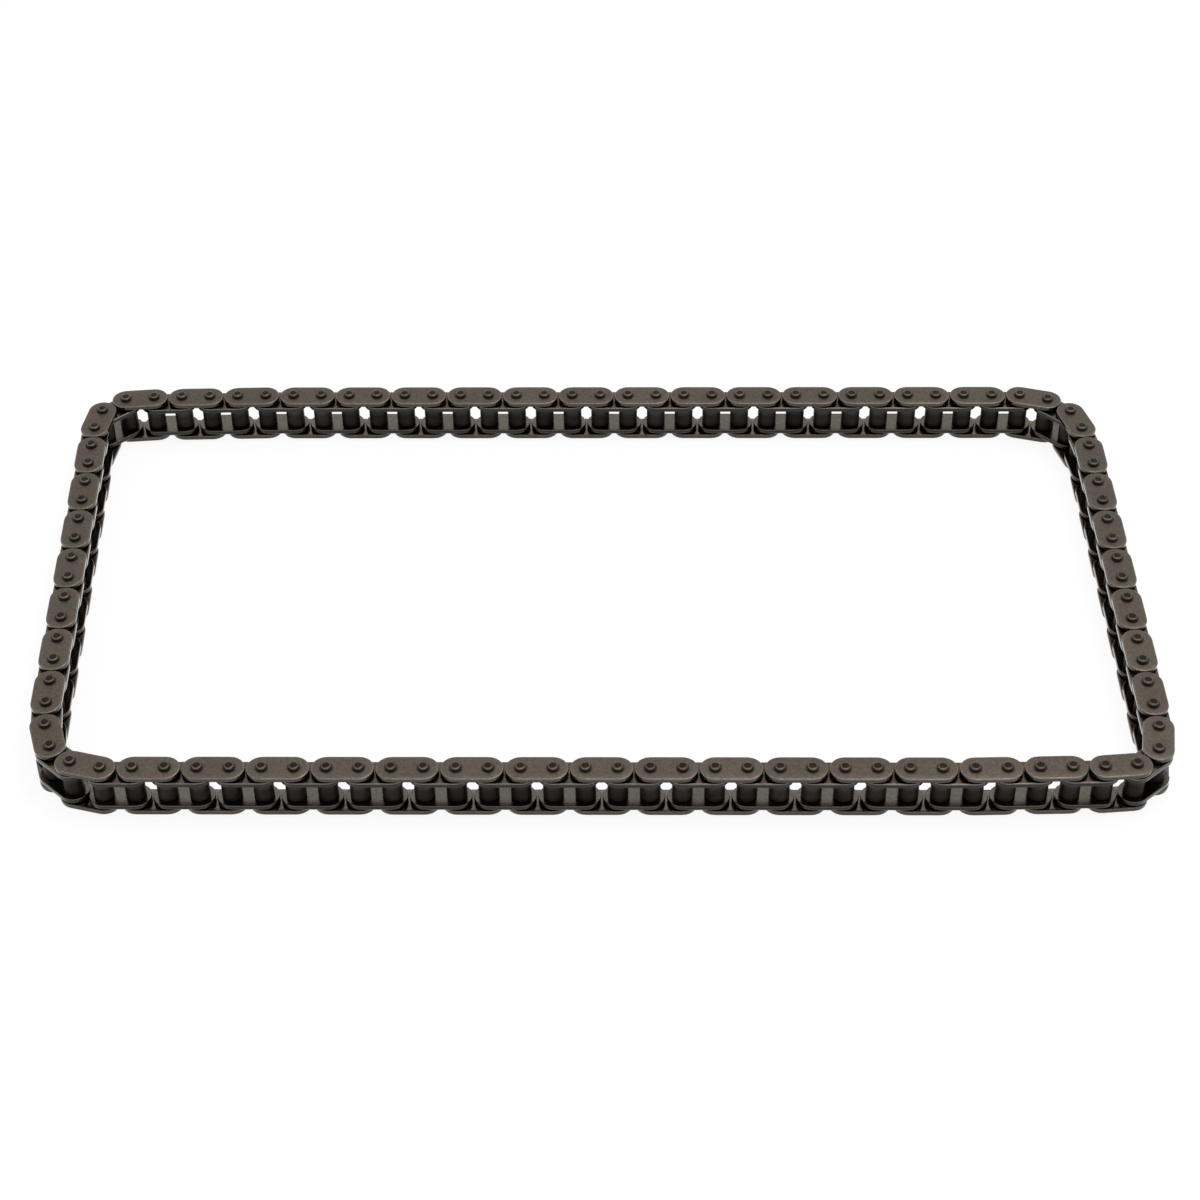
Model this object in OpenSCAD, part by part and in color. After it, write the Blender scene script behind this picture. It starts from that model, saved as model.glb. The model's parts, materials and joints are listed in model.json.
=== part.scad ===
// Oil pump chain: an endless single-strand roller chain, lying on its pin ends as a loop.
// Outer links (two outer plates on two pins) take turns with inner links (two inner plates on
// two bushes, each with a loose roller). Every link lies between two pivots of the loop.
// Z is up, along the pins. The origin is under the middle of the loop, on the surface that
// the lower pin ends rest on. X runs along the two long runs of the loop.

/* [Links] */
// Distance between the centres of two neighbouring pins
pitch = 8; // [7:0.1:12]
// Clearance between neighbouring outer plates when the chain folds; the plate height follows from it
neighbour_gap = 0.1; // [0.1:0.05:1.5]
// How much lower an inner plate is than an outer plate, both sides together
inner_plate_step = 0.1; // [0:0.05:1]
// How far the round end of a plate is centred inside its pin
end_inset = 0.05; // [0.05:0.025:1]
// Thickness of an outer plate
outer_plate_t = 1.3; // [0.8:0.05:2.5]
// Thickness of an inner plate
inner_plate_t = 1.35; // [0.8:0.05:2.5]
// Broken edge around both faces of every plate
plate_edge = 0.3; // [0.05:0.01:0.35]
// Clear width between the two inner plates
inner_width = 6.6; // [3:0.1:12]
// Side play between an inner plate and the outer plate beside it
plate_play = 0.45; // [0.05:0.05:0.6]

/* [Pins, bushes and rollers] */
// Diameter of a pin
pin_d = 2.6; // [1.8:0.1:3.2]
// How far each end of a pin stands out of the outer plate
pin_stand = 1; // [0.8:0.05:1.5]
// Chamfer around each end of a pin
pin_edge = 0.4; // [0.1:0.05:0.45]
// How far the riveted collar of a pin laps over the plate around its bore
collar_lap = 0.35; // [0.1:0.05:0.8]
// Height of the riveted collar
collar_h = 0.2; // [0.1:0.05:0.3]
// Radial running clearance between a pin and its bush
pin_clearance = 0.05; // [0.02:0.01:0.1]
// Wall of a bush
bush_wall = 0.45; // [0.25:0.05:0.8]
// Radial running clearance between a bush and its roller
roller_clearance = 0.05; // [0.02:0.01:0.1]
// Wall of a roller
roller_wall = 0.75; // [0.4:0.05:1]
// Rounded-off edge at the rim and the bore of a roller
roller_edge = 0.15; // [0.05:0.01:0.19]
// Side play between a roller and each inner plate
roller_play = 0.1; // [0.05:0.05:0.4]

/* [Loop] */
// Outer links in a long run of the loop
long_run_links = 17; // [7:1:30]
// Outer links in a short run of the loop
short_run_links = 9; // [5:1:20]
// Clockwise turn at the last pin but one of a short run, in degrees
short_end_angle = 10; // [0:1:30]
// Turn at the first pin of a long run, in degrees
long_first_angle = 36; // [10:1:50]
// Turn at the second pin of a long run, in degrees
long_second_angle = 4; // [0:1:20]
// Slight bow further along a long run, in degrees
long_bow_angle = 1.5; // [0:0.5:4]
// Turn at the last pin but one of a long run, in degrees
long_end_angle = 15; // [0:1:30]
// Turn at the last pin of a long run, in degrees
long_last_angle = 27.5; // [10:0.5:45]
// Turn at the first pin of a short run, in degrees
short_first_angle = 30.5; // [10:0.5:45]
// Turn at the second pin of a short run, in degrees
short_second_angle = 9.5; // [0:0.5:20]
// Turn at the third pin of a short run, in degrees
short_third_angle = 5.5; // [0:0.5:15]

/* [Hidden] */

$fn = 48;
// Cutters run this far past the faces they cut
overcut = 1;
// Links of a long run before the pin at its slight bow
bow_links = 5;

outer_colour = [0.37, 0.345, 0.315];
inner_colour = [0.35, 0.325, 0.295];
pin_colour = [0.27, 0.25, 0.235];
bush_colour = [0.30, 0.28, 0.26];
roller_colour = [0.16, 0.14, 0.15];

// Plates: the round end of an outer plate just misses its neighbour's when the chain folds
outer_end_r = (pitch - neighbour_gap) / 2;
inner_end_r = outer_end_r - inner_plate_step / 2;

// Radii from the pin outwards: the bush runs on the pin, the roller runs on the bush
pin_r = pin_d / 2;
collar_r = pin_r + collar_lap;
bush_bore_r = pin_r + pin_clearance;
bush_r = bush_bore_r + bush_wall;
roller_bore_r = bush_r + roller_clearance;
roller_r = roller_bore_r + roller_wall;

// Heights from the surface upwards
lower_outer_z = pin_stand;
lower_inner_z = lower_outer_z + outer_plate_t + plate_play;
roller_z = lower_inner_z + inner_plate_t + roller_play;
upper_inner_z = lower_inner_z + inner_plate_t + inner_width;
upper_outer_z = upper_inner_z + inner_plate_t + plate_play;
pin_l = upper_outer_z + outer_plate_t + pin_stand;
bush_l = 2 * inner_plate_t + inner_width;
roller_l = inner_width - 2 * roller_play;

// The loop is made of two equal halves, one long and one short run each, the second half being
// the first one turned half round, so that the loop closes whatever the turns are. Pins are
// counted clockwise seen from above, from the back left corner, and link n lies between pins
// n and n + 1. Even links are outer links.
long_run_pins = 2 * round(long_run_links);
short_run_pins = 2 * round(short_run_links);
half_pins = long_run_pins + short_run_pins;
loop_pins = 2 * half_pins;
short_last_angle = 180 - short_end_angle - long_first_angle - long_second_angle - long_bow_angle
    - long_end_angle - long_last_angle - short_first_angle - short_second_angle - short_third_angle;

// Clockwise turn at pin n
function turn(n) =
    let (p = n % half_pins)
    p == 0 ? long_first_angle
    : p == 1 ? long_second_angle
    : p == round(bow_links) ? long_bow_angle
    : p == long_run_pins - 2 ? long_end_angle
    : p == long_run_pins - 1 ? long_last_angle
    : p == long_run_pins ? short_first_angle
    : p == long_run_pins + 1 ? short_second_angle
    : p == long_run_pins + 2 ? short_third_angle
    : p == half_pins - 2 ? short_end_angle
    : p == half_pins - 1 ? short_last_angle
    : 0;

// Direction of each link from its first pin, anticlockwise from X; the long runs lie along X
headings = [
    for (n = 0, a = long_second_angle + long_bow_angle; n < loop_pins; n = n + 1, a = a - turn(n)) a
];

// Where each pin lies from the first pin, and the middle of the loop, half way across
steps = [for (a = headings) pitch * [cos(a), sin(a)]];
from_first = [for (n = 0, at = [0, 0]; n < loop_pins; at = at + steps[n], n = n + 1) at];
middle = from_first[half_pins] / 2;
pivots = [for (at = from_first) at - middle];

// The links that flex at the corners lie between the runs: outer, inner, outer
back_left = loop_pins - 1;
back_right = long_run_pins - 1;
front_right = half_pins - 1;
front_left = half_pins + long_run_pins - 1;

// Each run is the links from the pin after one corner to the pin before the next
function run_links(from_corner, to_corner) = [
    for (n = [(from_corner + 2) % loop_pins : to_corner - 2]) n
];
back_run = run_links(back_left, back_right);
right_run = run_links(back_right, front_right);
front_run = run_links(front_right, front_left);
left_run = run_links(front_left, back_left);
function outer_links(run) = [for (n = run) if (n % 2 == 0) n];
function inner_links(run) = [for (n = run) if (n % 2 == 1) n];

// Places its children at a pin of the loop
module at_pivot(n) {
    translate(pivots[n % loop_pins]) children();
}

// Places its children on a link: X from its first pin to its second
module on_link(n) {
    at_pivot(n) rotate(headings[n]) children();
}

// Flat oblong plate with round ends, broken edges and two bores, lying on Z = 0
module plate(end_r, t, bore_r) {
    difference() {
        union() {
            for (x = [end_inset, pitch - end_inset]) {
                translate([x, 0, 0]) rotate_extrude() polygon([
                    [0, 0], [end_r - plate_edge, 0], [end_r, plate_edge],
                    [end_r, t - plate_edge], [end_r - plate_edge, t], [0, t],
                ]);
            }
            translate([end_inset, 0, 0]) rotate([90, 0, 90]) linear_extrude(pitch - 2 * end_inset) polygon([
                [-end_r + plate_edge, 0], [end_r - plate_edge, 0], [end_r, plate_edge],
                [end_r, t - plate_edge], [end_r - plate_edge, t], [-end_r + plate_edge, t],
                [-end_r, t - plate_edge], [-end_r, plate_edge],
            ]);
        }
        for (x = [0, pitch]) translate([x, 0, -overcut]) cylinder(r = bore_r, h = t + 2 * overcut);
    }
}

// The lower and the upper outer plate of each link in the list, pressed on the pins
module outer_plates(links) {
    color(outer_colour) for (n = links, z = [lower_outer_z, upper_outer_z]) {
        on_link(n) translate([0, 0, z]) plate(outer_end_r, outer_plate_t, pin_r);
    }
}

// The lower and the upper inner plate of each link in the list, pressed on the bushes
module inner_plates(links) {
    color(inner_colour) for (n = links, z = [lower_inner_z, upper_inner_z]) {
        on_link(n) translate([0, 0, z]) plate(inner_end_r, inner_plate_t, bush_r);
    }
}

// The two pins of each outer link in the list, standing on their lower ends
module pins(links) {
    color(pin_colour) for (n = links, end = [0, 1]) {
        at_pivot(n + end) rotate_extrude() polygon([
            [0, 0], [pin_r - pin_edge, 0], [pin_r, pin_edge], [pin_r, pin_stand - collar_h],
            [collar_r, pin_stand - collar_h], [collar_r, pin_stand], [pin_r, pin_stand],
            [pin_r, pin_l - pin_stand], [collar_r, pin_l - pin_stand],
            [collar_r, pin_l - pin_stand + collar_h], [pin_r, pin_l - pin_stand + collar_h],
            [pin_r, pin_l - pin_edge], [pin_r - pin_edge, pin_l], [0, pin_l],
        ]);
    }
}

// The two bushes of each inner link in the list, flush with the plates' outer faces
module bushes(links) {
    color(bush_colour) for (n = links, end = [0, 1]) {
        at_pivot(n + end) translate([0, 0, lower_inner_z]) difference() {
            cylinder(r = bush_r, h = bush_l);
            translate([0, 0, -overcut]) cylinder(r = bush_bore_r, h = bush_l + 2 * overcut);
        }
    }
}

// One loose roller on its bush
module roller(n) {
    at_pivot(n) translate([0, 0, roller_z]) rotate_extrude() polygon([
        [roller_bore_r + roller_edge, 0], [roller_r - roller_edge, 0], [roller_r, roller_edge],
        [roller_r, roller_l - roller_edge], [roller_r - roller_edge, roller_l],
        [roller_bore_r + roller_edge, roller_l], [roller_bore_r, roller_l - roller_edge],
        [roller_bore_r, roller_edge],
    ]);
}

// The rollers of each inner link in the list
module rollers(links) {
    color(roller_colour) for (n = links, end = [0, 1]) roller(n + end);
}

module back_run_outer_plates() { outer_plates(outer_links(back_run)); }
module back_run_pins() { pins(outer_links(back_run)); }
module back_run_inner_plates() { inner_plates(inner_links(back_run)); }
module back_run_bushes() { bushes(inner_links(back_run)); }
module back_run_rollers() { rollers(inner_links(back_run)); }

module right_run_outer_plates() { outer_plates(outer_links(right_run)); }
module right_run_pins() { pins(outer_links(right_run)); }
module right_run_inner_plates() { inner_plates(inner_links(right_run)); }
module right_run_bushes() { bushes(inner_links(right_run)); }
module right_run_rollers() { rollers(inner_links(right_run)); }

module front_run_outer_plates() { outer_plates(outer_links(front_run)); }
module front_run_pins() { pins(outer_links(front_run)); }
module front_run_inner_plates() { inner_plates(inner_links(front_run)); }
module front_run_bushes() { bushes(inner_links(front_run)); }
module front_run_rollers() { rollers(inner_links(front_run)); }

module left_run_outer_plates() { outer_plates(outer_links(left_run)); }
module left_run_pins() { pins(outer_links(left_run)); }
module left_run_inner_plates() { inner_plates(inner_links(left_run)); }
module left_run_bushes() { bushes(inner_links(left_run)); }
module left_run_rollers() { rollers(inner_links(left_run)); }

module back_left_short_side_plates() { outer_plates([back_left - 1]); }
module back_left_short_side_pins() { pins([back_left - 1]); }
module back_left_long_side_plates() { outer_plates([0]); }
module back_left_long_side_pins() { pins([0]); }
module back_left_inner_plates() { inner_plates([back_left]); }
module back_left_bushes() { bushes([back_left]); }
module back_left_roller_a() { color(roller_colour) roller(back_left); }
module back_left_roller_b() { color(roller_colour) roller(back_left + 1); }

module back_right_long_side_plates() { outer_plates([back_right - 1]); }
module back_right_long_side_pins() { pins([back_right - 1]); }
module back_right_short_side_plates() { outer_plates([back_right + 1]); }
module back_right_short_side_pins() { pins([back_right + 1]); }
module back_right_inner_plates() { inner_plates([back_right]); }
module back_right_bushes() { bushes([back_right]); }
module back_right_roller_a() { color(roller_colour) roller(back_right); }
module back_right_roller_b() { color(roller_colour) roller(back_right + 1); }

module front_right_short_side_plates() { outer_plates([front_right - 1]); }
module front_right_short_side_pins() { pins([front_right - 1]); }
module front_right_long_side_plates() { outer_plates([front_right + 1]); }
module front_right_long_side_pins() { pins([front_right + 1]); }
module front_right_inner_plates() { inner_plates([front_right]); }
module front_right_bushes() { bushes([front_right]); }
module front_right_roller_a() { color(roller_colour) roller(front_right); }
module front_right_roller_b() { color(roller_colour) roller(front_right + 1); }

module front_left_long_side_plates() { outer_plates([front_left - 1]); }
module front_left_long_side_pins() { pins([front_left - 1]); }
module front_left_short_side_plates() { outer_plates([front_left + 1]); }
module front_left_short_side_pins() { pins([front_left + 1]); }
module front_left_inner_plates() { inner_plates([front_left]); }
module front_left_bushes() { bushes([front_left]); }
module front_left_roller_a() { color(roller_colour) roller(front_left); }
module front_left_roller_b() { color(roller_colour) roller(front_left + 1); }

back_run_outer_plates();
back_run_pins();
back_run_inner_plates();
back_run_bushes();
back_run_rollers();
right_run_outer_plates();
right_run_pins();
right_run_inner_plates();
right_run_bushes();
right_run_rollers();
front_run_outer_plates();
front_run_pins();
front_run_inner_plates();
front_run_bushes();
front_run_rollers();
left_run_outer_plates();
left_run_pins();
left_run_inner_plates();
left_run_bushes();
left_run_rollers();
back_left_short_side_plates();
back_left_short_side_pins();
back_left_long_side_plates();
back_left_long_side_pins();
back_left_inner_plates();
back_left_bushes();
back_left_roller_a();
back_left_roller_b();
back_right_long_side_plates();
back_right_long_side_pins();
back_right_short_side_plates();
back_right_short_side_pins();
back_right_inner_plates();
back_right_bushes();
back_right_roller_a();
back_right_roller_b();
front_right_short_side_plates();
front_right_short_side_pins();
front_right_long_side_plates();
front_right_long_side_pins();
front_right_inner_plates();
front_right_bushes();
front_right_roller_a();
front_right_roller_b();
front_left_long_side_plates();
front_left_long_side_pins();
front_left_short_side_plates();
front_left_short_side_pins();
front_left_inner_plates();
front_left_bushes();
front_left_roller_a();
front_left_roller_b();
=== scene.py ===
import json
import math
import random

import bmesh
import bpy
from mathutils import Matrix, Vector


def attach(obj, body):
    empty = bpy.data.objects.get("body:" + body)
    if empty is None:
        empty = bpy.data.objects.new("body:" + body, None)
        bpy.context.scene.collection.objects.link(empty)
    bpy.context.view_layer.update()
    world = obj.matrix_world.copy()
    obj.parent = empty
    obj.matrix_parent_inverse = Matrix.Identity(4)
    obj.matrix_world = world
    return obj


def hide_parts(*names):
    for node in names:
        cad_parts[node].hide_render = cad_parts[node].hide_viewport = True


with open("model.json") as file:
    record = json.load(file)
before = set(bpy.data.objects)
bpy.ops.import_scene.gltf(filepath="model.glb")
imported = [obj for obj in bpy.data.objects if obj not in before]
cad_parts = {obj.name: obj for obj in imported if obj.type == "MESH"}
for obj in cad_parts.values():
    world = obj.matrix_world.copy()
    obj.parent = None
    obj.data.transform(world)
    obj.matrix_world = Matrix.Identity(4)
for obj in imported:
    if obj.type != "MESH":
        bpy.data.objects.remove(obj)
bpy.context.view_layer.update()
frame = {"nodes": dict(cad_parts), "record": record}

scene = bpy.context.scene
MM = 0.001

# Sizes of the chain, the same as the frame's, but for the sharper inside edges of the inner plates
PITCH = 8.0 * MM
OUTER_END_R = 3.95 * MM
INNER_END_R = 3.9 * MM
END_INSET = 0.05 * MM
OUTER_PLATE_T = 1.3 * MM
INNER_PLATE_T = 1.35 * MM
PLATE_EDGE = 0.3 * MM
INNER_INSIDE_EDGE = 0.18 * MM
INNER_WIDTH = 6.6 * MM
PLATE_PLAY = 0.45 * MM
PIN_R = 1.3 * MM
PIN_STAND = 1.0 * MM
PIN_EDGE = 0.4 * MM
COLLAR_R = 1.65 * MM
COLLAR_H = 0.2 * MM
DISH_R = 0.9 * MM
DISH_DEPTH = 0.15 * MM
BUSH_R = 1.8 * MM
ROLLER_BORE_R = 1.85 * MM
ROLLER_R = 2.6 * MM
ROLLER_EDGE = 0.15 * MM
ROLLER_PLAY = 0.1 * MM

# Heights from the surface that the pins stand on
LOWER_OUTER_Z = PIN_STAND
LOWER_INNER_Z = LOWER_OUTER_Z + OUTER_PLATE_T + PLATE_PLAY
ROLLER_Z = LOWER_INNER_Z + INNER_PLATE_T + ROLLER_PLAY
UPPER_INNER_Z = LOWER_INNER_Z + INNER_PLATE_T + INNER_WIDTH
UPPER_OUTER_Z = UPPER_INNER_Z + INNER_PLATE_T + PLATE_PLAY
PIN_L = UPPER_OUTER_Z + OUTER_PLATE_T + PIN_STAND
ROLLER_L = INNER_WIDTH - 2 * ROLLER_PLAY

# Steps round each kind of round face
END_STEPS = 24
BORE_STEPS = 12
PIN_STEPS = 16
ROLLER_STEPS = 16

# Angles between faces, in radians, over which an edge is sharp and under which it isn't needed
SHARP_ANGLE = 1.2
FLAT_ANGLE = 0.02

# How much of a face's direction lies along Z: at most in an upright wall, at least in a level face
WALL_SLOPE = 0.1
LEVEL_SLOPE = 0.99

# Points nearer than this are one point
TOUCHING = 0.001 * MM

# Weight at which the larger faces count most in the shading where faces meet
LARGE_FACE_WEIGHT = 100

# Clockwise turns of the loop at its pins, in degrees, counted from the back left corner; the
# second half of the loop has the same turns as the first
LONG_RUN_PINS = 34
SHORT_RUN_PINS = 18
HALF_PINS = LONG_RUN_PINS + SHORT_RUN_PINS
LOOP_PINS = 2 * HALF_PINS
BOW_LINKS = 5
TURNS = {
    0: 36.0,
    1: 4.0,
    BOW_LINKS: 1.5,
    LONG_RUN_PINS - 2: 15.0,
    LONG_RUN_PINS - 1: 27.5,
    LONG_RUN_PINS: 30.5,
    LONG_RUN_PINS + 1: 9.5,
    LONG_RUN_PINS + 2: 5.5,
    HALF_PINS - 2: 10.0,
}
TURNS[HALF_PINS - 1] = 180.0 - sum(TURNS.values())

# The inner link in the middle of each corner, and the sides before and after it
CORNERS = {
    "back_left": (LOOP_PINS - 1, "short", "long"),
    "back_right": (LONG_RUN_PINS - 1, "long", "short"),
    "front_right": (HALF_PINS - 1, "short", "long"),
    "front_left": (HALF_PINS + LONG_RUN_PINS - 1, "long", "short"),
}
RUNS = {
    "back_run": ("back_left", "back_right"),
    "right_run": ("back_right", "front_right"),
    "front_run": ("front_right", "front_left"),
    "left_run": ("front_left", "back_left"),
}

# Soft spots in the steels: sizes in millimetres, and the values between which the noise mostly stays
CLOUD_MM = 2.5
BLOTCH_MM = 0.8
GRAIN_MM = 0.22
PIN_GRAIN_MM = 0.25
TURNED_CLOUD_MM = 2.0
LINE_MM = 0.5
LINE_DENSITY = (0.25, 0.25, 3)
NOISE_LOW = 0.3
NOISE_HIGH = 0.7
NOISE_DETAIL = 3

# How far the tone goes up and down, from piece to piece and in the spots
PLATE_SPREAD = 0.07
PLATE_GRAIN_SPREAD = 0.08
BLOTCH_SPREAD = 0.18
PIN_SPREAD = 0.12
PIN_GRAIN_SPREAD = 0.15
ROLLER_SPREAD = 0.45
LINE_SPREAD = 0.15
TONE_SEED = 7

# Rubbed-down crown of the plates, with a painted highlight on it: millimetres from the line between
# their pins, lighter per millimetre of crown
CROWN_AND_HIGHLIGHT_START = 2.0
CROWN_AND_HIGHLIGHT_END = 3.7
PAINTED_HIGHLIGHT_PER_CROWN = 1.5

# Stain round the collars, deepened by painted contact shade, and stain round the dishes, in millimetres,
# and the least share of tone and wear left
STAIN_AND_SHADE_WIDTH = 0.3
DISH_STAIN_WIDTH = 0.2
STAIN_AND_SHADE_SHARE = 0.75
WEAR_SHARE = 0.75

# Painted highlight under a roller's top and painted shade over its bottom, in millimetres, and the tone
# left there
TOP_HIGHLIGHT_START = 2.6
TOP_HIGHLIGHT_END = 1.3
BOTTOM_SHADE_END = 1.2
BOTTOM_SHADE_SHARE = 0.4

# Gloss of the steels and of the oil on their cut walls, and fine relief in millimetres
ROUGHNESS_SPREAD = 0.1
INSIDE_ROUGHNESS = 0.18
WALL_ROUGHNESS = 0.1
PIN_ROUGHNESS = 0.3
TURNED_ROUGHNESS = 0.4
TURNED_METALLIC = 0.2
TURNED_SPECULAR = 0.1
OIL_ROUGHNESS = 0.05
OIL_IOR = 1.35
PLATE_RELIEF = 0.006
PIN_RELIEF = 0.01
LINE_RELIEF = 0.005

# Camera of the photograph's view: where it stands, how it is turned, and how near and far it sees
CAMERA_PLACE = Vector((11.5, -556.0, 501.45)) * MM
CAMERA_LENS_MM = 83.25
CAMERA_TILT = math.radians(41.92)
CAMERA_PAN = math.radians(1.01)
CAMERA_ROLL = math.radians(-0.66)
CAMERA_NEAR = 0.01
CAMERA_FAR = 20

# Floor and light, in metres and watts
FLOOR_SIZE = 6.0
FLOOR_COLOUR = (0.8, 0.8, 0.8)
FLOOR_GLOW = 0.9
FLOOR_SHADOW_SHARE = 0.13
WORLD_STRENGTH = 0.7
KEY_PLACE = Vector((0.25, 0.15, 1.1))
KEY_POWER = 3.5
KEY_SIZE = 0.5
FILL_PLACE = Vector((0.2, -0.8, 0.9))
FILL_POWER = 0.6
FILL_SIZE = 0.8

shades = random.Random(TONE_SEED)


def lay_loop():
    """The place of each link: X from its first pin to its second, round the middle of the loop"""
    # Past its first turns the long run lies along X
    heading = math.radians(TURNS[1] + TURNS[BOW_LINKS])
    at = Vector((0, 0, 0))
    first_pins = []
    for link in range(LOOP_PINS):
        first_pins.append((at.copy(), heading))
        at += PITCH * Vector((math.cos(heading), math.sin(heading), 0))
        heading -= math.radians(TURNS.get((link + 1) % HALF_PINS, 0.0))
    middle = first_pins[HALF_PINS][0] / 2
    return [
        Matrix.Translation(place - middle) @ Matrix.Rotation(turned, 4, "Z")
        for place, turned in first_pins
    ]


def sharp_edges(bm):
    """Edges at which two faces meet at about a right angle"""
    return [e for e in bm.edges if len(e.link_faces) == 2 and e.calc_face_angle() > SHARP_ANGLE]


def new_shape():
    """An empty shape, ready for a map of places and for marks on its faces"""
    bm = bmesh.new()
    for layer_name in ("rim", "wall", "inside"):
        bm.faces.layers.float.new(layer_name)
    bm.loops.layers.uv.new("place")
    return bm


def mark(bm, layer_name, faces):
    """Marks faces of a shape, such as a worn rim, for its material"""
    layer = bm.faces.layers.float[layer_name]
    for face in faces:
        face[layer] = 1.0


def map_from_above(bm):
    """Gives each point its own place on the shape, in millimetres, as its map"""
    place = bm.loops.layers.uv["place"]
    for face in bm.faces:
        for corner in face.loops:
            corner[place].uv = corner.vert.co.xy / MM


def plate_shape(end_r, thickness, bore_r, inside_edge):
    """An oblong plate with two bores and rolled rims, on Z = 0, inner face up, X from bore to bore"""
    bm = new_shape()
    end_x = END_INSET - PITCH / 2
    outline = bmesh.ops.create_circle(bm, segments=END_STEPS, radius=end_r)["verts"]
    inward = [v for v in outline if v.co.x > TOUCHING]
    # The inward half of the round end is pulled out flat, to the middle of the plate
    bmesh.ops.scale(bm, vec=(0, 1 / math.cos(2 * math.pi / END_STEPS), 1), verts=inward)
    bmesh.ops.translate(bm, vec=(end_x, 0, 0), verts=outline)
    bmesh.ops.translate(bm, vec=(-end_x, 0, 0), verts=inward)
    bore = bmesh.ops.create_circle(bm, segments=BORE_STEPS, radius=bore_r)["verts"]
    bmesh.ops.translate(bm, vec=(-PITCH / 2, 0, 0), verts=bore)
    bmesh.ops.bridge_loops(bm, edges=bm.edges[:])
    bmesh.ops.mirror(bm, geom=bm.verts[:] + bm.edges[:] + bm.faces[:], merge_dist=TOUCHING, axis="X")
    bmesh.ops.translate(bm, vec=(PITCH / 2, 0, 0), verts=bm.verts[:])
    bmesh.ops.dissolve_limit(bm, angle_limit=FLAT_ANGLE, verts=bm.verts[:], edges=bm.edges[:])
    bmesh.ops.recalc_face_normals(bm, faces=bm.faces[:])
    bmesh.ops.solidify(bm, geom=bm.faces[:], thickness=thickness)
    lowest = min(v.co.z for v in bm.verts)
    bmesh.ops.translate(bm, vec=(0, 0, -lowest), verts=bm.verts[:])
    bmesh.ops.recalc_face_normals(bm, faces=bm.faces[:])
    at_outline = [
        e for e in sharp_edges(bm)
        if min((e.verts[0].co.xy - Vector((x, 0))).length for x in (0, PITCH)) > (bore_r + end_r) / 2
    ]
    outer_rim = [e for e in at_outline if e.verts[0].co.z < thickness / 2]
    inside_rim = [e for e in at_outline if e.verts[0].co.z > thickness / 2]
    rolled = bmesh.ops.bevel(
        bm, geom=outer_rim, offset=PLATE_EDGE, segments=2, profile=0.5, affect="EDGES", material=-1
    )
    mark(bm, "rim", rolled["faces"])
    bmesh.ops.bevel(
        bm, geom=inside_rim, offset=inside_edge, segments=2, profile=0.5, affect="EDGES", material=-1
    )
    mark(bm, "wall", [f for f in bm.faces if abs(f.normal.z) < WALL_SLOPE])
    mark(bm, "inside", [f for f in bm.faces if f.normal.z > LEVEL_SLOPE])
    map_from_above(bm)
    return bm


def pin_shape():
    """A pin that stands on its lower end, with dished ends and a riveted collar at each"""
    bm = new_shape()
    collar_z = PIN_STAND - COLLAR_H
    half = [
        (0, DISH_DEPTH), (DISH_R, 0), (PIN_R, 0), (PIN_R, collar_z),
        (COLLAR_R, collar_z), (COLLAR_R, PIN_STAND), (PIN_R, PIN_STAND),
    ]
    profile = half + [(r, PIN_L - z) for r, z in reversed(half)]
    points = [bm.verts.new((r, 0, z)) for r, z in profile]
    for one, other in zip(points, points[1:]):
        bm.edges.new((one, other))
    corners = [p for p, (r, z) in zip(points, profile) if r == PIN_R and z in (0, PIN_L)]
    bmesh.ops.bevel(
        bm, geom=corners, offset=PIN_EDGE, segments=2, profile=0.5, affect="VERTICES", material=-1
    )
    bmesh.ops.spin(
        bm, geom=bm.verts[:] + bm.edges[:], cent=(0, 0, 0), axis=(0, 0, 1), angle=2 * math.pi,
        steps=PIN_STEPS, use_merge=True,
    )
    bmesh.ops.remove_doubles(bm, verts=bm.verts[:], dist=TOUCHING)
    bmesh.ops.recalc_face_normals(bm, faces=bm.faces[:])
    for face in bm.faces:
        middle = face.calc_center_median()
        at_end = min(middle.z, PIN_L - middle.z) < PIN_EDGE
        if at_end and middle.xy.length > DISH_R:
            mark(bm, "rim", [face])
        elif middle.xy.length > PIN_R:
            mark(bm, "wall", [face])
    map_from_above(bm)
    return bm


def roller_shape():
    """A roller that stands on Z = 0, with rounded edges"""
    bm = new_shape()
    # A square of side 1 becomes the cut through one wall
    bmesh.ops.create_grid(bm, x_segments=1, y_segments=1, size=0.5)
    wall = ROLLER_R - ROLLER_BORE_R
    bmesh.ops.scale(bm, vec=(wall, ROLLER_L, 1), verts=bm.verts[:])
    bmesh.ops.rotate(bm, cent=(0, 0, 0), matrix=Matrix.Rotation(math.pi / 2, 3, "X"), verts=bm.verts[:])
    bmesh.ops.translate(bm, vec=(ROLLER_BORE_R + wall / 2, 0, ROLLER_L / 2), verts=bm.verts[:])
    bmesh.ops.bevel(
        bm, geom=bm.verts[:], offset=ROLLER_EDGE, segments=1, profile=0.5, affect="VERTICES", material=-1
    )
    bmesh.ops.delete(bm, geom=bm.faces[:], context="FACES_ONLY")
    bmesh.ops.spin(
        bm, geom=bm.verts[:] + bm.edges[:], cent=(0, 0, 0), axis=(0, 0, 1), angle=2 * math.pi,
        steps=ROLLER_STEPS, use_merge=True,
    )
    bmesh.ops.recalc_face_normals(bm, faces=bm.faces[:])
    map_from_above(bm)
    return bm


def new_object(name, data):
    """A new object in the scene"""
    added = bpy.data.objects.new(name, data)
    scene.collection.objects.link(added)
    return added


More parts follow.
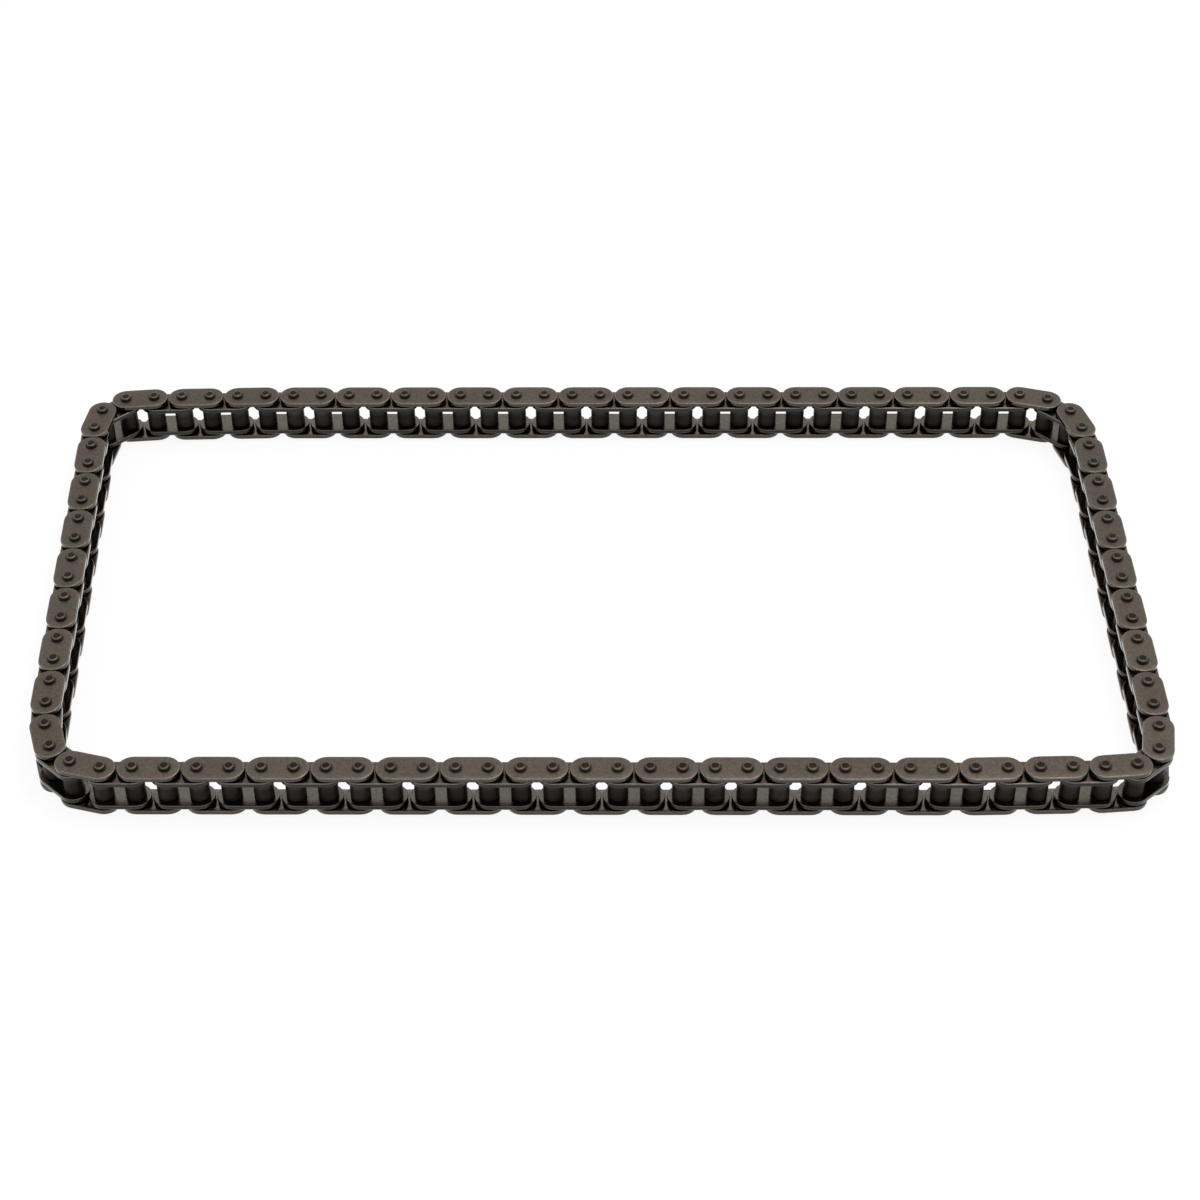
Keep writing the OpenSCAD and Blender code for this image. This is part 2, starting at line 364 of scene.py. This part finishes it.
def repeated(name, shape, places):
    """One object of a shape's copies, each at its place and with its own tone"""
    for edge in sharp_edges(shape):
        edge.smooth = False
    pattern = bpy.data.meshes.new(name)
    shape.to_mesh(pattern)
    bm = new_shape()
    tone = bm.faces.layers.float.new("tone")
    for place in places:
        copied_verts = len(bm.verts)
        copied_faces = len(bm.faces)
        bm.from_mesh(pattern)
        bm.verts.ensure_lookup_table()
        bm.faces.ensure_lookup_table()
        bmesh.ops.transform(bm, matrix=place, verts=bm.verts[copied_verts:])
        own_tone = shades.uniform(-1, 1)
        for face in bm.faces[copied_faces:]:
            face[tone] = own_tone
            face.smooth = True
    bm.to_mesh(pattern)
    bm.free()
    piece = new_object(name, pattern)
    weighted = piece.modifiers.new("flat_faces_stay_flat", "WEIGHTED_NORMAL")
    weighted.weight = LARGE_FACE_WEIGHT
    weighted.keep_sharp = True
    return piece


def new_material(name):
    """A new material with its node tree and its shader"""
    material = bpy.data.materials.new(name)
    material.use_nodes = True
    tree = material.node_tree
    return material, tree, tree.nodes["Principled BSDF"]


def feed(tree, socket, value):
    """Gives a socket a plain number, a colour or an output of another node"""
    if isinstance(value, bpy.types.NodeSocket):
        tree.links.new(value, socket)
    elif isinstance(value, tuple):
        socket.default_value = (*value, 1)
    else:
        socket.default_value = value


def value_of(tree, operation, one, other):
    """Arithmetic on two values"""
    node = tree.nodes.new("ShaderNodeMath")
    node.operation = operation
    feed(tree, node.inputs[0], one)
    feed(tree, node.inputs[1], other)
    return node.outputs[0]


def ranged(tree, value, low, high, new_low, new_high):
    """A value whose low to high become new_low to new_high, and no further"""
    node = tree.nodes.new("ShaderNodeMapRange")
    for socket, given in zip(node.inputs, (value, low, high, new_low, new_high)):
        feed(tree, socket, given)
    return node.outputs["Result"]


def varied(tree, tone, value, lowest, spread):
    """A tone made up to a spread darker or lighter, as a value goes from its lowest to 1"""
    return value_of(tree, "MULTIPLY", tone, ranged(tree, value, lowest, 1, 1 - spread, 1 + spread))


def object_place(tree, density=(1, 1, 1)):
    """Places on the object in millimetres, times how much closer a pattern lies along each axis"""
    place = tree.nodes.new("ShaderNodeTexCoord")
    mapping = tree.nodes.new("ShaderNodeMapping")
    mapping.inputs["Scale"].default_value = [axis / MM for axis in density]
    feed(tree, mapping.inputs["Vector"], place.outputs["Object"])
    return mapping.outputs["Vector"]


def spots(tree, place, size_mm):
    """Soft spots of about a size, from 0 to 1"""
    noise = tree.nodes.new("ShaderNodeTexNoise")
    noise.inputs["Scale"].default_value = 1 / size_mm
    noise.inputs["Detail"].default_value = NOISE_DETAIL
    feed(tree, noise.inputs["Vector"], place)
    return ranged(tree, noise.outputs["Fac"], NOISE_LOW, NOISE_HIGH, 0, 1)


def marked(tree, name):
    """The value of a mark on the faces"""
    node = tree.nodes.new("ShaderNodeAttribute")
    node.attribute_name = name
    return node.outputs["Fac"]


def distance_from(tree, first_x, last_x):
    """Distance in millimetres, on the map of places, from the line between two places on X"""
    place = tree.nodes.new("ShaderNodeUVMap")
    place.uv_map = "place"
    nearest = place.outputs["UV"]
    for operation, end_x in (("MAXIMUM", first_x), ("MINIMUM", last_x)):
        limit = tree.nodes.new("ShaderNodeVectorMath")
        limit.operation = operation
        limit.inputs[1].default_value = (end_x / MM, 0, 0)
        feed(tree, limit.inputs[0], nearest)
        nearest = limit.outputs["Vector"]
    distance = tree.nodes.new("ShaderNodeVectorMath")
    distance.operation = "DISTANCE"
    feed(tree, distance.inputs[0], place.outputs["UV"])
    feed(tree, distance.inputs[1], nearest)
    return distance.outputs["Value"]


def between_colours(tree, share, one, other):
    """One colour turned into another by a share, each a colour or an output of a node"""
    node = tree.nodes.new("ShaderNodeMix")
    node.data_type = "RGBA"
    feed(tree, node.inputs[0], share)
    feed(tree, node.inputs[6], one)
    feed(tree, node.inputs[7], other)
    return node.outputs[2]


def scaled_colour(tree, colour, factor):
    """A colour made lighter or darker by a factor"""
    node = tree.nodes.new("ShaderNodeVectorMath")
    node.operation = "SCALE"
    feed(tree, node.inputs[0], colour)
    feed(tree, node.inputs["Scale"], factor)
    return node.outputs[0]


def finish_steel(tree, shader, colour, gloss, relief, metallic=1.0):
    """Sets a steel's colour and its roughness, and the fine relief of its surface in millimetres"""
    shader.inputs["Metallic"].default_value = metallic
    feed(tree, shader.inputs["Base Color"], colour)
    feed(tree, shader.inputs["Roughness"], gloss)
    bump = tree.nodes.new("ShaderNodeBump")
    bump.inputs["Strength"].default_value = 1.0
    bump.inputs["Distance"].default_value = MM
    feed(tree, bump.inputs["Height"], relief)
    feed(tree, shader.inputs["Normal"], bump.outputs["Normal"])


def plate_steel(name, roughness, crown, face, mottled, inside, worn, cut_and_shade):
    """Tumbled and browned steel plate: mottled faces, smoother inside, worn rims, oily cut walls
    darkened partly by painted shade;
    crown is how many millimetres the faces are rubbed down at the outline, where a painted highlight
    makes them lighter"""
    material, tree, shader = new_material(name)
    place = object_place(tree)
    clouds = spots(tree, place, CLOUD_MM)
    blotches = spots(tree, place, BLOTCH_MM)
    grain = spots(tree, place, GRAIN_MM)
    wall_mark = marked(tree, "wall")
    inside_mark = marked(tree, "inside")
    colour = between_colours(tree, clouds, face, mottled)
    colour = between_colours(tree, inside_mark, colour, inside)
    wear = value_of(tree, "MULTIPLY", marked(tree, "rim"), ranged(tree, grain, 0, 1, WEAR_SHARE, 1))
    colour = between_colours(tree, wear, colour, worn)
    # Cut walls: their own darker colour, deepened by painted shade
    colour = between_colours(tree, wall_mark, colour, cut_and_shade)
    to_bore = value_of(tree, "MINIMUM", distance_from(tree, 0, 0), distance_from(tree, PITCH, PITCH))
    collar = COLLAR_R / MM
    # Stain with painted contact shade round the collars
    stain_and_shade = ranged(tree, to_bore, collar, collar + STAIN_AND_SHADE_WIDTH, STAIN_AND_SHADE_SHARE, 1)
    crown_and_highlight = ranged(tree, distance_from(tree, 0, PITCH), CROWN_AND_HIGHLIGHT_START, CROWN_AND_HIGHLIGHT_END, 0, 1)
    crown_and_highlight = value_of(tree, "MULTIPLY", crown_and_highlight, crown_and_highlight)
    tone = varied(tree, 1, marked(tree, "tone"), -1, PLATE_SPREAD)
    tone = varied(tree, tone, grain, 0, PLATE_GRAIN_SPREAD)
    tone = varied(tree, tone, blotches, 0, BLOTCH_SPREAD)
    # Painted highlight: the faces are lighter towards their outline, growing with the crown
    outline_highlight = ranged(tree, crown_and_highlight, 0, 1, 1, 1 + PAINTED_HIGHLIGHT_PER_CROWN * crown)
    tone = value_of(tree, "MULTIPLY", tone, outline_highlight)
    colour = scaled_colour(tree, colour, value_of(tree, "MULTIPLY", tone, stain_and_shade))
    gloss = ranged(tree, clouds, 0, 1, roughness, roughness + ROUGHNESS_SPREAD)
    gloss = ranged(tree, inside_mark, 0, 1, gloss, INSIDE_ROUGHNESS)
    gloss = ranged(tree, wall_mark, 0, 1, gloss, WALL_ROUGHNESS)
    relief = value_of(tree, "MULTIPLY", grain, PLATE_RELIEF)
    relief = value_of(tree, "SUBTRACT", relief, value_of(tree, "MULTIPLY", crown_and_highlight, crown))
    finish_steel(tree, shader, colour, gloss, relief)
    feed(tree, shader.inputs["Coat Weight"], wall_mark)
    shader.inputs["Coat Roughness"].default_value = OIL_ROUGHNESS
    shader.inputs["Coat IOR"].default_value = OIL_IOR
    return material


def riveted_steel(name, dish, side, worn, collar):
    """Steel of a riveted pin: dark dished ends, lighter worn shoulders, and a collar darkened partly by
    painted shade
    """
    material, tree, shader = new_material(name)
    grain = spots(tree, object_place(tree), PIN_GRAIN_MM)
    dish_edge = DISH_R / MM
    dished = ranged(tree, distance_from(tree, 0, 0), dish_edge, dish_edge + DISH_STAIN_WIDTH, 1, 0)
    colour = between_colours(tree, marked(tree, "rim"), side, worn)
    colour = between_colours(tree, dished, colour, dish)
    # The collar's dark colour is partly painted shade round the base of the pin
    colour = between_colours(tree, marked(tree, "wall"), colour, collar)
    tone = varied(tree, 1, marked(tree, "tone"), -1, PIN_SPREAD)
    tone = varied(tree, tone, grain, 0, PIN_GRAIN_SPREAD)
    colour = scaled_colour(tree, colour, tone)
    gloss = ranged(tree, grain, 0, 1, PIN_ROUGHNESS, PIN_ROUGHNESS + ROUGHNESS_SPREAD)
    finish_steel(tree, shader, colour, gloss, value_of(tree, "MULTIPLY", grain, PIN_RELIEF))
    return material


def turned_steel(name, dark, light, top_highlight):
    """Blackened round steel with fine lines round it from grinding, lighter at its top with a painted
    highlight and darker at its bottom with painted shade"""
    material, tree, shader = new_material(name)
    place = object_place(tree)
    clouds = spots(tree, place, TURNED_CLOUD_MM)
    lines = spots(tree, object_place(tree, LINE_DENSITY), LINE_MM)
    axes = tree.nodes.new("ShaderNodeSeparateXYZ")
    feed(tree, axes.inputs["Vector"], place)
    height = axes.outputs["Z"]
    bottom = ROLLER_Z / MM
    top = (ROLLER_Z + ROLLER_L) / MM
    colour = between_colours(tree, clouds, dark, light)
    # Painted highlight: the top of the roller is lighter
    top_highlight_share = ranged(tree, height, top - TOP_HIGHLIGHT_START, top - TOP_HIGHLIGHT_END, 0, 1)
    colour = between_colours(tree, top_highlight_share, colour, top_highlight)
    tone = varied(tree, 1, marked(tree, "tone"), -1, ROLLER_SPREAD)
    tone = varied(tree, tone, lines, 0, LINE_SPREAD)
    # Painted shade: the bottom of the roller is darker
    bottom_shade = ranged(tree, height, bottom, bottom + BOTTOM_SHADE_END, BOTTOM_SHADE_SHARE, 1)
    colour = scaled_colour(tree, colour, value_of(tree, "MULTIPLY", tone, bottom_shade))
    gloss = ranged(tree, lines, 0, 1, TURNED_ROUGHNESS, TURNED_ROUGHNESS + ROUGHNESS_SPREAD)
    relief = value_of(tree, "MULTIPLY", lines, LINE_RELIEF)
    finish_steel(tree, shader, colour, gloss, relief, TURNED_METALLIC)
    shader.inputs["Specular IOR Level"].default_value = TURNED_SPECULAR
    return material


def dress(node, name, shape, places, material):
    """A finished piece that stands for a node of the frame and moves with its body"""
    piece = repeated(name, shape, places)
    piece.data.materials.append(material)
    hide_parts(node)
    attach(piece, body_of[node])


def plates_at(chosen, lower_z, upper_z, thickness):
    """Places of the lower plate of each link, and of the upper one, which is turned over"""
    lower = Matrix.Translation((0, 0, lower_z))
    upper = Matrix.Translation((0, 0, upper_z + thickness)) @ Matrix.Rotation(math.pi, 4, "X")
    return [links[n] @ place for n in chosen for place in (lower, upper)]


def pins_at(chosen, height):
    """Places at both pins of each link"""
    return [links[n] @ Matrix.Translation((x, 0, height)) for n in chosen for x in (0, PITCH)]


def dress_outer(plates_node, pins_node, chosen):
    """Outer plates and pins of some outer links"""
    places = plates_at(chosen, LOWER_OUTER_Z, UPPER_OUTER_Z, OUTER_PLATE_T)
    dress(plates_node, "tumbled_" + plates_node, outer_plate, places, outer_steel)
    dress(pins_node, "ground_" + pins_node, pin, pins_at(chosen, 0), pin_steel)


def dress_inner(node, chosen):
    """Inner plates of some inner links"""
    places = plates_at(chosen, LOWER_INNER_Z, UPPER_INNER_Z, INNER_PLATE_T)
    dress(node, "tumbled_" + node, inner_plate, places, inner_steel)


def dress_rollers(node, places):
    """Rollers of some inner links"""
    dress(node, "black_" + node, roller, places, roller_steel)


def set_camera():
    """The camera where the photograph's stood, with no shift"""
    data = bpy.data.cameras.new("camera")
    data.lens = CAMERA_LENS_MM
    data.clip_start = CAMERA_NEAR
    data.clip_end = CAMERA_FAR
    camera = new_object("camera", data)
    camera.matrix_world = (
        Matrix.Translation(CAMERA_PLACE)
        @ Matrix.Rotation(CAMERA_PAN, 4, "Z")
        @ Matrix.Rotation(math.pi / 2 - CAMERA_TILT, 4, "X")
        @ Matrix.Rotation(CAMERA_ROLL, 4, "Z")
    )
    scene.camera = camera


def seen_rays(tree):
    """1 for camera, glossy and transmission rays, and 0 for the rays that light the object"""
    path = tree.nodes.new("ShaderNodeLightPath")
    outputs = path.outputs
    either = value_of(tree, "MAXIMUM", outputs["Is Camera Ray"], outputs["Is Glossy Ray"])
    return value_of(tree, "MAXIMUM", either, outputs["Is Transmission Ray"])


def set_world():
    """An even studio, seen white and giving the object a plain light"""
    world = bpy.data.worlds.new("studio")
    scene.world = world
    world.use_nodes = True
    tree = world.node_tree
    background = tree.nodes["Background"]
    feed(tree, background.inputs["Color"], (1, 1, 1))
    feed(tree, background.inputs["Strength"], ranged(tree, seen_rays(tree), 0, 1, WORLD_STRENGTH, 1))


def set_floor():
    """A floor that lights the object as pale ground does, and is seen white with a soft shadow"""
    bm = bmesh.new()
    bmesh.ops.create_grid(bm, x_segments=1, y_segments=1, size=FLOOR_SIZE / 2)
    mesh = bpy.data.meshes.new("floor")
    bm.to_mesh(mesh)
    bm.free()
    floor = new_object("floor", mesh)
    material, tree, shader = new_material("floor_white")
    tree.nodes.remove(shader)
    lit = tree.nodes.new("ShaderNodeBsdfDiffuse")
    feed(tree, lit.inputs["Color"], FLOOR_COLOUR)
    glow = tree.nodes.new("ShaderNodeEmission")
    feed(tree, glow.inputs["Strength"], FLOOR_GLOW)
    faint = tree.nodes.new("ShaderNodeBsdfDiffuse")
    feed(tree, faint.inputs["Color"], (FLOOR_SHADOW_SHARE, FLOOR_SHADOW_SHARE, FLOOR_SHADOW_SHARE))
    seen = tree.nodes.new("ShaderNodeAddShader")
    feed(tree, seen.inputs[0], faint.outputs[0])
    feed(tree, seen.inputs[1], glow.outputs[0])
    choice = tree.nodes.new("ShaderNodeMixShader")
    feed(tree, choice.inputs[0], seen_rays(tree))
    feed(tree, choice.inputs[1], lit.outputs[0])
    feed(tree, choice.inputs[2], seen.outputs[0])
    feed(tree, tree.nodes["Material Output"].inputs["Surface"], choice.outputs[0])
    mesh.materials.append(material)


def set_lamp(name, place, power, size):
    """A soft square lamp turned to the middle of the object"""
    data = bpy.data.lights.new(name, "AREA")
    data.energy = power
    data.size = size
    lamp = new_object(name, data)
    lamp.location = place
    lamp.rotation_euler = (-place).to_track_quat("-Z", "Y").to_euler()


body_of = {
    node: body
    for body, nodes in frame["record"]["behaviour"]["bodies"].items()
    for node in nodes
}
links = lay_loop()

outer_plate = plate_shape(OUTER_END_R, OUTER_PLATE_T, PIN_R, PLATE_EDGE)
inner_plate = plate_shape(INNER_END_R, INNER_PLATE_T, BUSH_R, INNER_INSIDE_EDGE)
pin = pin_shape()
roller = roller_shape()

outer_steel = plate_steel(
    "tumbled_outer_plate_steel",
    roughness=0.34,
    crown=0.08,
    face=(0.107, 0.08, 0.071),
    mottled=(0.097, 0.087, 0.064),
    inside=(0.15, 0.132, 0.114),
    worn=(0.15, 0.131, 0.112),
    cut_and_shade=(0.036, 0.031, 0.027),
)
inner_steel = plate_steel(
    "tumbled_inner_plate_steel",
    roughness=0.14,
    crown=0.0,
    face=(0.107, 0.079, 0.067),
    mottled=(0.097, 0.086, 0.062),
    inside=(0.13, 0.114, 0.101),
    worn=(0.145, 0.127, 0.112),
    # The inner plates' cut walls are near black: their own dark colour and painted shade
    cut_and_shade=(0.008, 0.007, 0.006),
)
pin_steel = riveted_steel(
    "riveted_pin_steel",
    dish=(0.024, 0.017, 0.012),
    side=(0.085, 0.072, 0.058),
    worn=(0.135, 0.115, 0.095),
    collar=(0.045, 0.035, 0.027),
)
roller_steel = turned_steel(
    "black_roller_steel",
    dark=(0.012, 0.0085, 0.0072),
    light=(0.0215, 0.0155, 0.013),
    # Colour of the painted highlight at the roller's top
    top_highlight=(0.042, 0.036, 0.032),
)
bush_steel = turned_steel(
    "rolled_bush_steel",
    dark=(0.05, 0.043, 0.038),
    light=(0.064, 0.056, 0.05),
    # Colour of the painted highlight at the bush's top
    top_highlight=(0.07, 0.062, 0.055),
)

# Even links are outer and odd ones inner, and a run starts and ends with an inner one
for run, (start, end) in RUNS.items():
    first = (CORNERS[start][0] + 2) % LOOP_PINS
    last = CORNERS[end][0] - 2
    outer = [n for n in range(first, last + 1) if n % 2 == 0]
    inner = [n for n in range(first, last + 1) if n % 2 == 1]
    dress_outer(run + "_outer_plates", run + "_pins", outer)
    dress_inner(run + "_inner_plates", inner)
    dress_rollers(run + "_rollers", pins_at(inner, ROLLER_Z))

for corner, (middle, before, after) in CORNERS.items():
    for side, link in ((before, middle - 1), (after, (middle + 1) % LOOP_PINS)):
        stem = corner + "_" + side + "_side"
        dress_outer(stem + "_plates", stem + "_pins", [link])
    dress_inner(corner + "_inner_plates", [middle])
    first_place, second_place = pins_at([middle], ROLLER_Z)
    dress_rollers(corner + "_roller_a", [first_place])
    dress_rollers(corner + "_roller_b", [second_place])

for name, node in frame["nodes"].items():
    if name.endswith("_bushes"):
        node.data.materials.clear()
        node.data.materials.append(bush_steel)

set_camera()
set_world()
set_floor()
set_lamp("key", KEY_PLACE, KEY_POWER, KEY_SIZE)
set_lamp("fill", FILL_PLACE, FILL_POWER, FILL_SIZE)
scene.view_settings.view_transform = "Standard"
